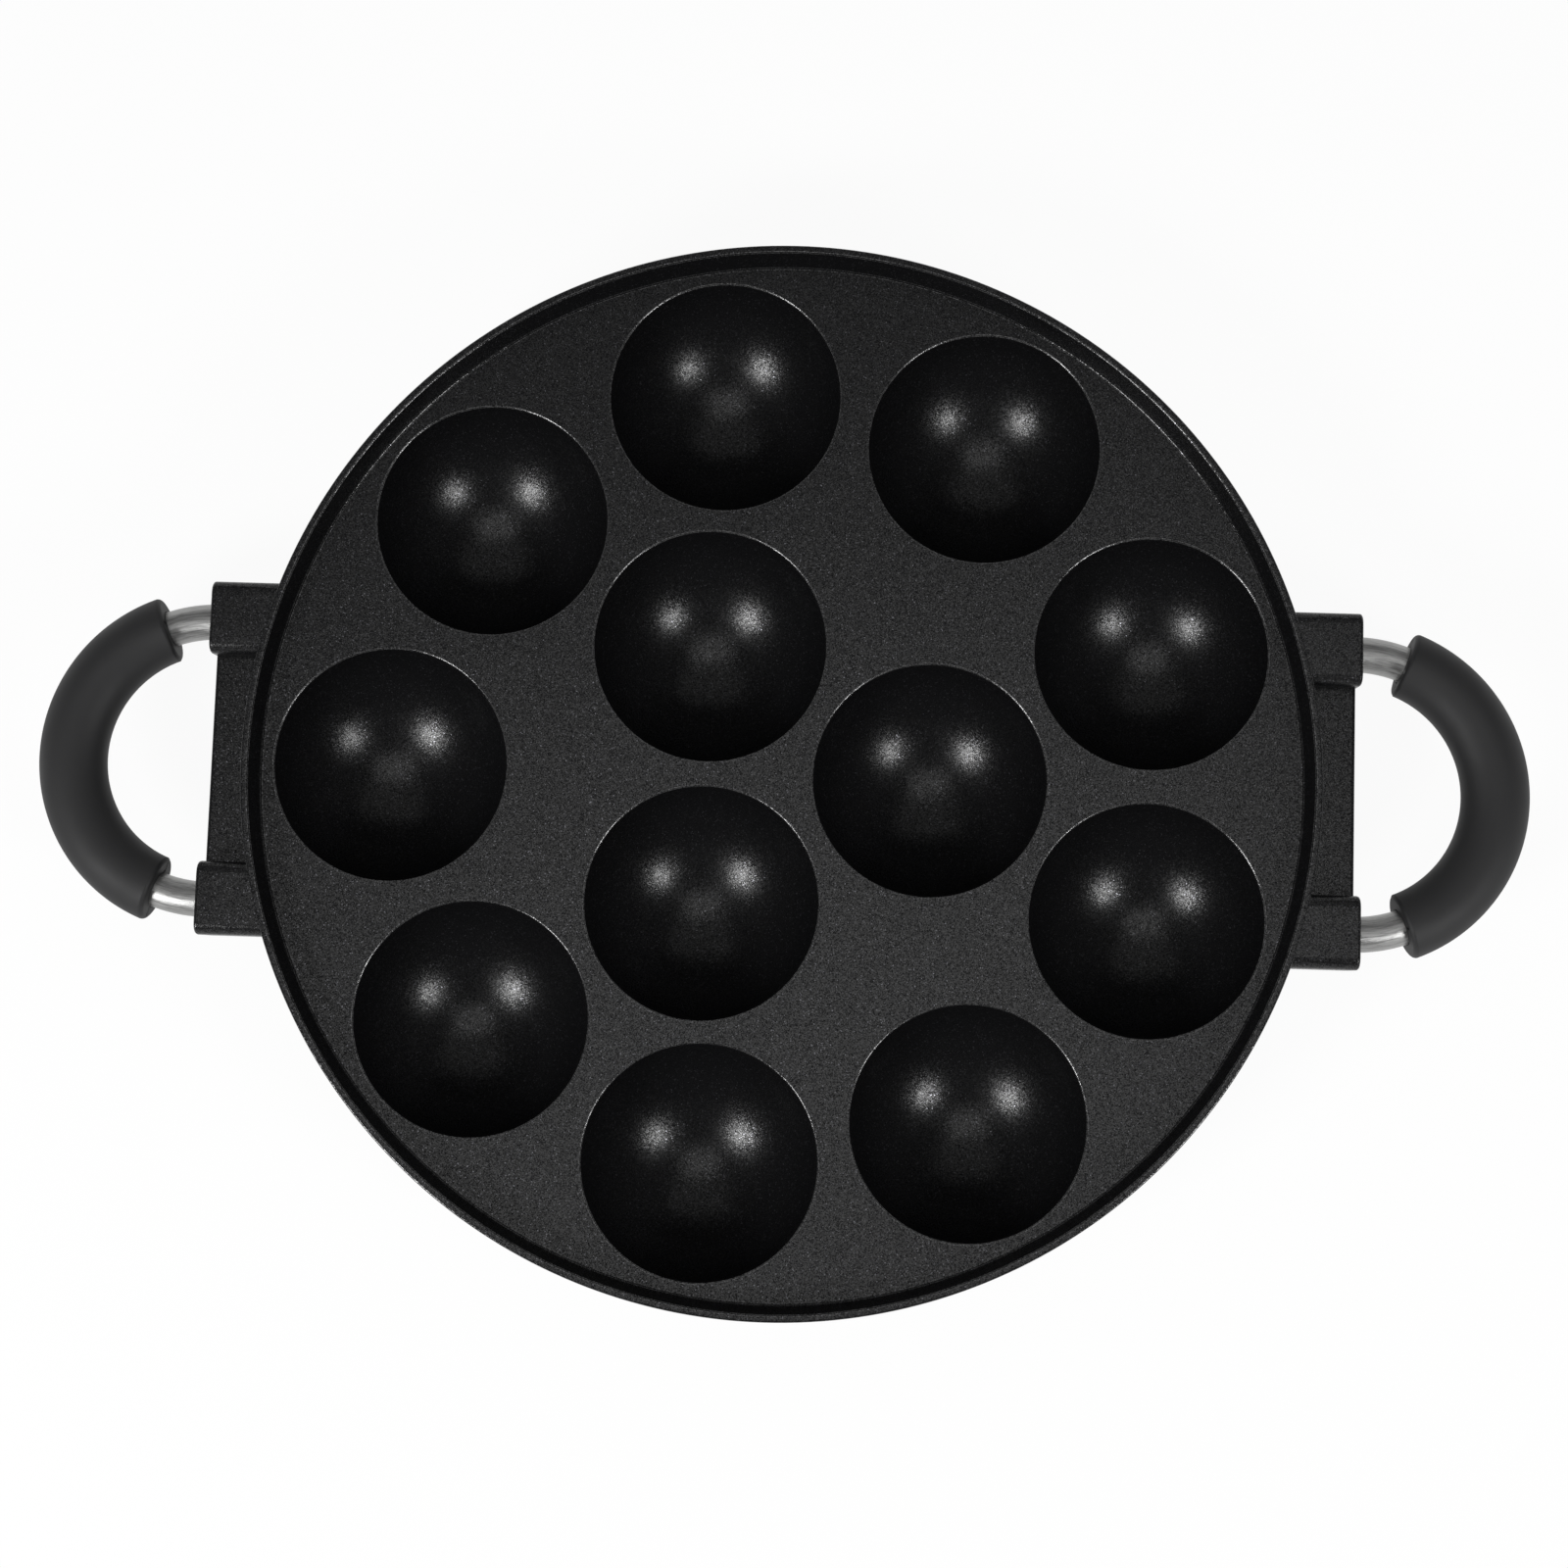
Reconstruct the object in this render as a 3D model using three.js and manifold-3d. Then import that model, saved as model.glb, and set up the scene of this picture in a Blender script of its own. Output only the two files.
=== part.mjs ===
// Takoyaki pan: a black coated aluminium casting with twelve round cups in a recessed plate, and on
// each side a bent steel rod that carries a silicone grip and is held by two set screws.
// Millimetres, +Z up, X through both handles, origin on the resting plane under the pan's middle.

import * as THREE from "three";
import { mergeVertices } from "three/addons/utils/BufferGeometryUtils.js";
import Module from "manifold-3d";

const wasm = await Module();
wasm.setup();

// Cups: part of a sphere each, in an outer ring and an inner ring
const cupMouthRadius = 26.1;
const cupDepth = 24;
const cupLipRounding = 0.65;
const cupWall = 3;
const cupFloor = 4;
const cupFootRadius = 11;
const cupFootFlare = 1;
const cupRootFlare = 1.6;
const outerCupCount = 9;
const outerCupLand = 7.8;
const innerCupCount = 3;
const innerCupLand = 5.8;

// Plate, rim and skirt of the casting
const edgeLand = 3.25;
const plateThickness = 3.6;
const recessDepth = 7;
const recessFlare = 1.15;
const recessFootRounding = 0.65;
const rimWidth = 1.8;
const rimRounding = 0.6;
const skirtWall = 3;
const skirtTaper = 1.2;
const skirtLift = 2;

// Lugs, two on each side, and the web between them
const lugReach = 8.55;
const lugWidth = 16.6;
const lugHeight = 18;
const lugTaper = 0.6;
const lugDrop = 0.05;
const lugEdgeRounding = 2.8;
const lugFaceRounding = 0.7;
const webSetback = 0.3;
const webDrop = 7.2;
const webThickness = 4.5;
const webEdgeRounding = 0.8;
const webCornerRounding = 1.2;

// Handle rods and grips
const rodRadius = 4;
const rodSpacing = 63;
const bendSetIn = 0.25;
const boreDepth = 12;
const gripWall = 3.2;
const gripRounding = 1.1;
const bareRodLength = 10.85;

// Set screws under the lugs
const screwRadius = 2;
const screwFromFace = 6.5;
const screwRecess = 0.8;
const screwKeyWidth = 2;
const screwKeyDepth = 1.6;

// Gap left between pieces that touch, and how far a cutting solid runs past what it cuts
const fitGap = 0.3;
const overrun = 2;

// Facets
const cupSides = 24;
const cupRings = 5;
const lipSteps = 1;
const footRings = 2;
const panSides = 84;
const roundingSteps = 2;
const lugEdgeSteps = 3;
const lugFaceSteps = 1;
const webEdgeSteps = 1;
const rodSides = 12;
const gripSides = 16;
const rodSteps = 34;
const gripSteps = 16;
const gripEndSteps = 2;
const screwSides = 16;
const keySides = 6;

// Heights above the resting plane
const plateZ = cupFloor + cupDepth;
const rimZ = plateZ + recessDepth;
const underPlateZ = plateZ - plateThickness;
const lugTopZ = rimZ - lugDrop;
const lugBottomZ = lugTopZ - lugHeight;
const rodZ = lugTopZ - lugHeight / 2;
const webTopZ = rimZ - webDrop;

// Circles of the pan, worked outwards from the cups
const cupSphereRadius = (cupMouthRadius ** 2 + cupDepth ** 2) / (2 * cupDepth);
const cupSphereZ = cupFloor + cupSphereRadius;
const outerRingRadius = ringRadius(outerCupCount, 2 * cupMouthRadius + outerCupLand);
const innerRingRadius = ringRadius(innerCupCount, 2 * cupMouthRadius + innerCupLand);
const recessFootRadius = outerRingRadius + cupMouthRadius + edgeLand;
const rimInnerRadius = recessFootRadius + recessFlare;
const rimRadius = rimInnerRadius + rimWidth;
const skirtFootRadius = rimRadius - skirtTaper;

// Places of the handles
const lugFaceX = rimRadius + lugReach;
const lugRootX = rimRadius - lugWidth;
const legY = rodSpacing / 2;
const bendCentreX = lugFaceX - bendSetIn;
const boreRadius = rodRadius + fitGap;
const gripBoreRadius = rodRadius + fitGap;
const gripRadius = gripBoreRadius + gripWall;
const gripHalfAngle = Math.PI / 2 - (bendSetIn + bareRodLength) / legY;
const screwX = lugFaceX - screwFromFace;

// Radius of a ring on which neighbours lie the given pitch apart
function ringRadius(count, pitch) {
  return pitch / (2 * Math.sin(Math.PI / count));
}

// A closed geometry as a solid that can be joined and cut
function solidOf(geometry) {
  const bare = geometry.clone();
  bare.deleteAttribute("normal");
  bare.deleteAttribute("uv");
  const merged = mergeVertices(bare);
  return new wasm.Manifold(
    new wasm.Mesh({
      numProp: 3,
      vertProperties: merged.attributes.position.array,
      triVerts: new Uint32Array(merged.index.array),
    }),
  );
}

// A solid as a geometry again
function geometryOf(solid) {
  const { vertProperties, triVerts } = solid.getMesh();
  const geometry = new THREE.BufferGeometry();
  geometry.setAttribute("position", new THREE.BufferAttribute(vertProperties, 3));
  geometry.setIndex(new THREE.BufferAttribute(triVerts, 1));
  geometry.computeVertexNormals();
  return geometry;
}

// Points of a circular arc in the profile plane, from one angle to another
function arcPoints(centreR, centreZ, radius, fromAngle, toAngle, steps) {
  const points = [];
  for (let i = 0; i <= steps; i += 1) {
    const angle = fromAngle + ((toAngle - fromAngle) * i) / steps;
    points.push([centreR + radius * Math.cos(angle), centreZ + radius * Math.sin(angle)]);
  }
  return points;
}

// A profile of [radius, height] pairs, from the bottom of the axis to its top, turned about Z
function turned(profile, sides) {
  const points = profile.map(([radius, height]) => new THREE.Vector2(Math.max(radius, 0), height));
  return new THREE.LatheGeometry(points, sides).rotateX(Math.PI / 2);
}

// Outside of the blank: a disc with a tapered skirt and a rounded rim edge
function blankSolid() {
  const bottomZ = skirtLift;
  const edgeR = rimRadius - rimRounding;
  const edgeZ = rimZ - rimRounding;
  return solidOf(
    turned(
      [
        [0, bottomZ],
        [skirtFootRadius - rimRounding, bottomZ],
        [skirtFootRadius, bottomZ + rimRounding],
        ...arcPoints(edgeR, edgeZ, rimRounding, 0, Math.PI / 2, roundingSteps),
        [0, rimZ],
      ],
      panSides,
    ),
  );
}

// The shallow recess above the plate, with a rounded foot and a rounded inner rim edge
function recessSolid() {
  const footR = recessFootRadius - recessFootRounding;
  const footZ = plateZ + recessFootRounding;
  const edgeZ = rimZ - rimRounding;
  return solidOf(
    turned(
      [
        [0, plateZ],
        ...arcPoints(footR, footZ, recessFootRounding, -Math.PI / 2, 0, roundingSteps),
        [rimInnerRadius - rimRounding, edgeZ],
        [rimInnerRadius, rimZ],
        [rimInnerRadius, rimZ + overrun],
        [0, rimZ + overrun],
      ],
      panSides,
    ),
  );
}

// The open space under the plate, inside the skirt
function underCavitySolid() {
  const mouthRadius = skirtFootRadius - skirtWall;
  return solidOf(
    turned(
      [
        [0, -overrun],
        [mouthRadius, -overrun],
        [mouthRadius, skirtLift],
        [rimRadius - skirtWall - skirtWall / 2, underPlateZ - skirtWall / 2],
        [rimRadius - 2 * skirtWall, underPlateZ],
        [0, underPlateZ],
      ],
      panSides,
    ),
  );
}

// Outside of one cup below the plate: part of a sphere on a flat foot, flared where it meets the plate
function cupShellSolid() {
  const radius = cupSphereRadius + cupWall;
  const footAngle = -Math.acos(cupFootRadius / radius);
  const rootZ = underPlateZ - cupRootFlare;
  const rootAngle = Math.asin((rootZ - cupSphereZ) / radius);
  const rootRadius = radius * Math.cos(rootAngle);
  return solidOf(
    turned(
      [
        [0, 0],
        [cupFootRadius - cupFootFlare, 0],
        ...arcPoints(0, cupSphereZ, radius, footAngle, rootAngle, footRings),
        [rootRadius + cupRootFlare, underPlateZ],
        [rootRadius + cupRootFlare, underPlateZ + plateThickness / 2],
        [0, underPlateZ + plateThickness / 2],
      ],
      cupSides,
    ),
  );
}

// Inside of one cup, with the rounding of its lip
function cupHollowSolid() {
  const lipZ = plateZ - cupLipRounding;
  const rise = lipZ - cupSphereZ;
  const lipRadius = Math.sqrt((cupSphereRadius + cupLipRounding) ** 2 - rise ** 2);
  const lipAngle = Math.atan2(rise, lipRadius);
  const lip = arcPoints(lipRadius, lipZ, cupLipRounding, Math.PI + lipAngle, Math.PI / 2, lipSteps);
  return solidOf(
    turned(
      [
        ...arcPoints(0, cupSphereZ, cupSphereRadius, -Math.PI / 2, lipAngle, cupRings),
        ...lip.slice(1),
        [lipRadius, plateZ + overrun],
        [0, plateZ + overrun],
      ],
      cupSides,
    ),
  );
}

// Centres of all cups: the outer ring has a cup towards -X and the inner ring one towards +X
function cupCentres() {
  const rings = [
    { count: outerCupCount, radius: outerRingRadius, start: Math.PI },
    { count: innerCupCount, radius: innerRingRadius, start: 0 },
  ];
  return rings.flatMap(({ count, radius, start }) =>
    Array.from({ length: count }, (_, i) => {
      const angle = start + (2 * Math.PI * i) / count;
      return [radius * Math.cos(angle), radius * Math.sin(angle), 0];
    }),
  );
}

// A rectangle with rounded corners, drawn in at both ends of its low side by a taper
function roundedOutline(x0, x1, y0, y1, corner, taper) {
  const shape = new THREE.Shape();
  shape.absarc(x1 - corner - taper, y0 + corner, corner, -Math.PI / 2, 0);
  shape.absarc(x1 - corner, y1 - corner, corner, 0, Math.PI / 2);
  shape.absarc(x0 + corner, y1 - corner, corner, Math.PI / 2, Math.PI);
  shape.absarc(x0 + corner + taper, y0 + corner, corner, Math.PI, 1.5 * Math.PI);
  return shape;
}

// A flat outline drawn out upwards from height zero, with the edges of both end faces rounded
function roundedPrism(shape, height, rounding, cornerSteps, roundingSegments) {
  const geometry = new THREE.ExtrudeGeometry(shape, {
    depth: height - 2 * rounding,
    curveSegments: cornerSteps,
    bevelThickness: rounding,
    bevelSize: rounding,
    bevelOffset: -rounding,
    bevelSegments: roundingSegments,
  });
  return geometry.translate(0, 0, rounding);
}

// One lug: a bar along X with well rounded long edges, from inside the wall to its face
function lugSolid(y) {
  const halfWidth = lugWidth / 2;
  const halfHeight = lugHeight / 2;
  const end = roundedOutline(
    -halfWidth,
    halfWidth,
    -halfHeight,
    halfHeight,
    lugEdgeRounding,
    lugTaper,
  );
  const length = lugFaceX - lugRootX;
  const bar = roundedPrism(end, length, lugFaceRounding, lugEdgeSteps, lugFaceSteps);
  return solidOf(bar.rotateX(Math.PI / 2).rotateZ(Math.PI / 2).translate(lugRootX, y, rodZ));
}

// The low web that joins the two lugs of one side
function webSolid() {
  const faceX = lugFaceX - webSetback;
  const outline = roundedOutline(lugRootX, faceX, -legY, legY, webCornerRounding, 0);
  const web = roundedPrism(outline, webThickness, webEdgeRounding, webEdgeSteps, webEdgeSteps);
  return solidOf(web.translate(0, 0, webTopZ - webThickness));
}

// The blind bore for one leg of a rod, along X
function legBoreSolid(y) {
  const length = boreDepth + overrun;
  const bore = new THREE.CylinderGeometry(boreRadius, boreRadius, length, rodSides);
  return solidOf(bore.rotateZ(Math.PI / 2).translate(lugFaceX + overrun - length / 2, y, rodZ));
}

// The hole for one set screw, from under the lug up into the leg's bore
function screwHoleSolid(y) {
  const radius = screwRadius + fitGap;
  const length = rodZ - lugBottomZ + overrun;
  const hole = new THREE.CylinderGeometry(radius, radius, length, screwSides);
  return solidOf(hole.rotateX(Math.PI / 2).translate(screwX, y, rodZ - length / 2));
}

// A solid turned half way round the pan's axis, onto the other side
function oppositeSolid(solid) {
  return solid.rotate([0, 0, 180]);
}

// The whole casting
function panGeometry() {
  const legs = [-legY, legY];
  let cast = blankSolid();
  for (const solid of [...legs.map(lugSolid), webSolid()]) {
    cast = cast.add(solid).add(oppositeSolid(solid));
  }
  cast = cast.subtract(recessSolid()).subtract(underCavitySolid());
  for (const centre of cupCentres()) {
    cast = cast.add(cupShellSolid().translate(centre));
  }
  for (const centre of cupCentres()) {
    cast = cast.subtract(cupHollowSolid().translate(centre));
  }
  for (const solid of [...legs.map(legBoreSolid), ...legs.map(screwHoleSolid)]) {
    cast = cast.subtract(solid).subtract(oppositeSolid(solid));
  }
  return geometryOf(cast);
}

// A round outline, with or without a round hole
function ringShape(radius, holeRadius) {
  const shape = new THREE.Shape();
  shape.absarc(0, 0, radius, 0, 2 * Math.PI);
  if (holeRadius) {
    const hole = new THREE.Path();
    hole.absarc(0, 0, holeRadius, 0, 2 * Math.PI);
    shape.holes.push(hole);
  }
  return shape;
}

// The half circle of a handle, from one angle to another, in the plane of the rod
class BendCurve extends THREE.Curve {
  constructor(fromAngle, toAngle) {
    super();
    this.fromAngle = fromAngle;
    this.toAngle = toAngle;
  }

  getPoint(t, target = new THREE.Vector3()) {
    const angle = this.fromAngle + (this.toAngle - this.fromAngle) * t;
    return target.set(bendCentreX + legY * Math.cos(angle), legY * Math.sin(angle), rodZ);
  }
}

// The rod's centre line: a straight leg, the half circle, and the other leg
function rodPath() {
  const tipX = lugFaceX - boreDepth + fitGap;
  const path = new THREE.CurvePath();
  path.add(
    new THREE.LineCurve3(
      new THREE.Vector3(tipX, -legY, rodZ),
      new THREE.Vector3(bendCentreX, -legY, rodZ),
    ),
  );
  path.add(new BendCurve(-Math.PI / 2, Math.PI / 2));
  path.add(
    new THREE.LineCurve3(
      new THREE.Vector3(bendCentreX, legY, rodZ),
      new THREE.Vector3(tipX, legY, rodZ),
    ),
  );
  return path;
}

function rodGeometry() {
  return new THREE.ExtrudeGeometry(ringShape(rodRadius, 0), {
    steps: rodSteps,
    curveSegments: rodSides / 2,
    extrudePath: rodPath(),
    bevelEnabled: false,
  });
}

// Share of the grip's length at which one of its stations lies: the stations that round an end
// follow a quarter circle, and the others are even
function gripStationShare(station) {
  const last = gripSteps + 2 * gripEndSteps;
  const roundingShare = gripRounding / (2 * gripHalfAngle * legY);
  if (station > last / 2) {
    return 1 - gripStationShare(last - station);
  }
  if (station < gripEndSteps) {
    return roundingShare * (1 - Math.cos((station / gripEndSteps) * (Math.PI / 2)));
  }
  return roundingShare + ((1 - 2 * roundingShare) * (station - gripEndSteps)) / gripSteps;
}

// The grip's centre line, with its own stations
class GripCurve extends BendCurve {
  constructor() {
    super(-gripHalfAngle, gripHalfAngle);
  }

  getUtoTmapping(u) {
    return gripStationShare(Math.round(u * (gripSteps + 2 * gripEndSteps)));
  }
}

// Pulls the outer skin in over the last stretch of a grip, along a quarter circle
function roundGripEnds(geometry) {
  const position = geometry.attributes.position;
  const vertex = new THREE.Vector3();
  const centre = new THREE.Vector3();
  for (let i = 0; i < position.count; i += 1) {
    vertex.fromBufferAttribute(position, i);
    const angle = Math.atan2(vertex.y, vertex.x - bendCentreX);
    centre.set(bendCentreX + legY * Math.cos(angle), legY * Math.sin(angle), rodZ);
    const radius = vertex.distanceTo(centre);
    const fromEnd = Math.max((gripHalfAngle - Math.abs(angle)) * legY, 0);
    if (fromEnd < gripRounding && radius > gripBoreRadius + gripWall / 2) {
      const pull = gripRounding - Math.sqrt(gripRounding ** 2 - (gripRounding - fromEnd) ** 2);
      vertex.lerp(centre, pull / radius);
      position.setXYZ(i, vertex.x, vertex.y, vertex.z);
    }
  }
  return geometry;
}

// The silicone grip: a tube round the bend, with rounded ends
function gripGeometry() {
  return roundGripEnds(
    new THREE.ExtrudeGeometry(ringShape(gripRadius, gripBoreRadius), {
      steps: gripSteps + 2 * gripEndSteps,
      curveSegments: gripSides / 2,
      extrudePath: new GripCurve(),
      bevelEnabled: false,
    }),
  );
}

// A socket set screw standing in its hole, key side down
function screwGeometry() {
  const bottomZ = lugBottomZ + screwRecess;
  const length = rodZ - rodRadius - fitGap - bottomZ;
  const keyRadius = screwKeyWidth / Math.sqrt(3);
  const body = new THREE.CylinderGeometry(screwRadius, screwRadius, length, screwSides);
  const key = new THREE.CylinderGeometry(keyRadius, keyRadius, 2 * screwKeyDepth, keySides);
  body.rotateX(Math.PI / 2).translate(0, 0, bottomZ + length / 2);
  key.rotateX(Math.PI / 2).translate(0, 0, bottomZ);
  return geometryOf(solidOf(body).subtract(solidOf(key)));
}

// Materials
function coatedAluminium() {
  return new THREE.MeshStandardMaterial({ color: 0x1c1c1c, roughness: 0.45, metalness: 0.1 });
}

function stainlessSteel() {
  return new THREE.MeshStandardMaterial({ color: 0xb9babb, roughness: 0.25, metalness: 1 });
}

function blackSilicone() {
  return new THREE.MeshStandardMaterial({ color: 0x242424, roughness: 0.7, metalness: 0 });
}

function screwSteel() {
  return new THREE.MeshStandardMaterial({ color: 0x35363a, roughness: 0.4, metalness: 1 });
}

function namedMesh(name, geometry, material) {
  const mesh = new THREE.Mesh(geometry, material);
  mesh.name = name;
  return mesh;
}

// Rod, grip and two screws of one side, turned about Z to face that side
function handleGroup(side, turn) {
  const group = new THREE.Group();
  group.add(namedMesh(`handle_rod_${side}`, rodGeometry(), stainlessSteel()));
  group.add(namedMesh(`handle_grip_${side}`, gripGeometry(), blackSilicone()));
  for (const [index, y] of [-legY, legY].entries()) {
    const screw = namedMesh(`set_screw_${side}_${index + 1}`, screwGeometry(), screwSteel());
    screw.position.set(screwX, y, 0);
    group.add(screw);
  }
  group.rotation.z = turn;
  return group;
}

const pan = new THREE.Group();
pan.add(namedMesh("pan_body", panGeometry(), coatedAluminium()));
pan.add(handleGroup("right", 0));
pan.add(handleGroup("left", Math.PI));

export default pan;
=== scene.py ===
import math
from contextlib import contextmanager

import bmesh
import bpy
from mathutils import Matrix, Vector


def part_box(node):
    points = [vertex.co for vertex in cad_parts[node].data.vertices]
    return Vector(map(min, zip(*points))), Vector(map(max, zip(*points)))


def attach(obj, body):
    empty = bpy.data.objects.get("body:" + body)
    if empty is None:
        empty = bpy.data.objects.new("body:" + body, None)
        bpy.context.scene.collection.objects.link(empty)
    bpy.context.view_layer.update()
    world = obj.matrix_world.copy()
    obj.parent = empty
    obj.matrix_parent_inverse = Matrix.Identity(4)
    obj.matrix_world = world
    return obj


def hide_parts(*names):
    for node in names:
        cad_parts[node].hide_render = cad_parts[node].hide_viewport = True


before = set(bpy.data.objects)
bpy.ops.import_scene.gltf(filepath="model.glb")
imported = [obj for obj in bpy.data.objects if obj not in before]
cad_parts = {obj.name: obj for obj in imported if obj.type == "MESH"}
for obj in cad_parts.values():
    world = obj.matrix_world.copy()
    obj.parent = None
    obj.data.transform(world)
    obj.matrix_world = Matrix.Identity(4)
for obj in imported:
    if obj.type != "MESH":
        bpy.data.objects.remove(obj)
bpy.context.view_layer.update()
PAN_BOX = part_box("pan_body")
GRIP_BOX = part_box("handle_grip_right")
ROD_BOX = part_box("handle_rod_right")

bl_info = {
    "name": "Takoyaki Pan",
    "version": (1, 0, 0),
    "blender": (4, 5, 0),
    "location": "3D View > Sidebar > Takoyaki Pan",
    "description": "Models a cast pan with twelve ball-shaped cups and two steel handles in silicone grips",
    "category": "Object",
}

BODY = "root"
SIDES = (("right", 0.0), ("left", math.pi))

# Facets
PAN_SIDES = 288
CUP_SIDES = 96
CUP_RINGS = 56
SHELL_SIDES = 64
SHELL_RINGS = 40
LIP_STEPS = 6
ROOT_STEPS = 4
EDGE_STEPS = 4
BORE_SIDES = 48
ROD_SIDES = 40
GRIP_SIDES = 64
BEND_STEPS = 96
SCREW_SIDES = 40

# How near a vertex has to be to a place to be picked, and how far a cutting solid runs past
SNAP = 0.00004
OVERRUN = 0.004
HAIR = 0.00002
SMOOTH_ANGLE = math.radians(32)


def linear_colour(code):
    """A linear colour with alpha from an sRGB hex code."""
    channels = (int(code[i : i + 2], 16) / 255 for i in (0, 2, 4))
    return (*(c / 12.92 if c <= 0.04045 else ((c + 0.055) / 1.055) ** 2.4 for c in channels), 1.0)


def length(name, description, default):
    """A property that holds a length in metres."""
    return bpy.props.FloatProperty(
        name=name,
        description=description,
        default=default,
        min=0.0,
        precision=5,
        subtype="DISTANCE",
        unit="LENGTH",
    )


def colour(name, description, code):
    """A property that holds a colour, written as an sRGB hex code."""
    return bpy.props.FloatVectorProperty(
        name=name,
        description=description,
        default=linear_colour(code),
        size=4,
        min=0.0,
        max=1.0,
        subtype="COLOR",
    )


def share(name, description, default):
    """A property that holds a share from 0 to 1."""
    return bpy.props.FloatProperty(
        name=name, description=description, default=default, min=0.0, max=1.0, subtype="FACTOR"
    )


class CastingSizes(bpy.types.PropertyGroup):
    """Sizes of the cast pan."""

    rim_height: length("Rim height", "Height of the rim above the hob", PAN_BOX[1].z)
    rim_radius: length("Rim radius", "Outer radius of the rim", PAN_BOX[1].y)
    rim_width: length("Rim width", "Width of the flat top of the rim", 0.0018)
    rim_rounding: length("Rim rounding", "Radius of the edges of the rim", 0.00045)
    recess_depth: length("Recess depth", "How far the plate lies below the rim", 0.007)
    recess_flare: length("Recess flare", "How far the recess widens from plate to rim", 0.0013)
    recess_rounding: length("Recess rounding", "Radius where the wall meets the plate", 0.00055)
    plate_thickness: length("Plate thickness", "Thickness of the plate", 0.0036)
    skirt_lift: length("Skirt lift", "Gap between the skirt and the hob", 0.002)
    skirt_taper: length("Skirt taper", "How far the skirt narrows towards its foot", 0.0012)
    skirt_wall: length("Skirt wall", "Thickness of the skirt", 0.003)
    cup_radius: length("Cup radius", "Radius of the mouth of a cup", 0.0261)
    cup_depth: length("Cup depth", "Depth of a cup below the plate", 0.024)
    cup_lip: length("Cup lip", "Radius of the rounded lip of a cup", 0.00065)
    cup_wall: length("Cup wall", "Thickness of the wall of a cup", 0.003)
    cup_root: length("Cup root", "Radius of the fillet where a cup meets the plate from below", 0.0016)
    foot_radius: length("Foot radius", "Radius of the pad under a cup", 0.011)
    foot_flare: length("Foot flare", "How far a foot narrows towards the hob", 0.001)
    outer_ring: length("Outer ring", "Radius of the ring of nine cups", 0.087714)
    inner_ring: length("Inner ring", "Radius of the ring of three cups", 0.033486)


class HandleSizes(bpy.types.PropertyGroup):
    """Sizes of the lugs and of the handles that they hold."""

    lug_face: length("Lug face", "Distance of the face of a lug from the middle", PAN_BOX[1].x)
    lug_reach: length("Lug reach", "How far a lug is cast into the wall", 0.02495)
    lug_width: length("Lug width", "Width of a lug at its top", 0.0166)
    lug_taper: length("Lug taper", "How far each side of a lug is drawn in at its foot", 0.0006)
    lug_height: length("Lug height", "Height of a lug", 0.018)
    lug_drop: length("Lug drop", "How far a lug lies below the rim", 0.00005)
    lug_rounding: length("Lug rounding", "Radius of the long edges of a lug", 0.0028)
    face_rounding: length("Face rounding", "Radius of the edges of the face of a lug", 0.0007)
    web_setback: length("Web setback", "How far the web lies behind the face of the lugs", 0.0003)
    web_drop: length("Web drop", "How far the web lies below the rim", 0.0072)
    web_thickness: length("Web thickness", "Thickness of the web", 0.0045)
    web_rounding: length("Web rounding", "Radius of the edges of the web", 0.0008)
    web_corner: length("Web corner", "Radius of the upright edges of the web", 0.0012)
    leg_y: length("Leg offset", "Distance of a leg of the rod from the middle plane", 0.0315)
    bend_x: length("Bend centre", "Distance of the centre of the bend from the middle", 0.12831)
    rod_radius: length("Rod radius", "Radius of the steel rod", 0.004)
    rod_height: length("Rod height", "Height of the rod above the hob", 0.02595)
    rod_tip: length("Rod tip", "Distance of the end of the rod from the middle", ROD_BOX[0].x)
    rod_chamfer: length("Rod chamfer", "Chamfer at the end of the rod", 0.0004)
    bore_depth: length("Bore depth", "Depth of the bore for a leg", 0.012)
    fit_gap: length("Fit gap", "Room round the rod and round the screws", 0.0003)
    grip_radius: length("Grip radius", "Outer radius of the grip", 0.0075)
    grip_rounding: length("Grip rounding", "Radius of the end of the grip", 0.0011)
    bare_rod: length("Bare rod", "Length of rod between a lug and the grip", 0.01085)
    screw_x: length("Screw place", "Distance of a set screw from the middle", 0.12205)
    screw_radius: length("Screw radius", "Radius of a set screw", 0.002)
    screw_recess: length("Screw recess", "How deep a set screw stands in its hole", 0.0008)
    key_width: length("Key width", "Width across flats of the key socket", 0.002)
    key_depth: length("Key depth", "Depth of the key socket", 0.0016)


class FinishColours(bpy.types.PropertyGroup):
    """Colours of the finishes."""

    coating: colour("Coating", "Ground colour of the non-stick coating", "101011")
    flake: colour("Flake", "Colour of the mica flakes in the coating", "606064")
    steel: colour("Steel", "Colour of the stainless steel rod", "a2a2a1")
    silicone: colour("Silicone", "Colour of the silicone grip", "1d1d1e")
    black_oxide: colour("Black oxide", "Colour of the oxidised set screws", "2b2b2e")
    floor: colour("Floor", "Colour of the studio floor", "f4f4f4")


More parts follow.
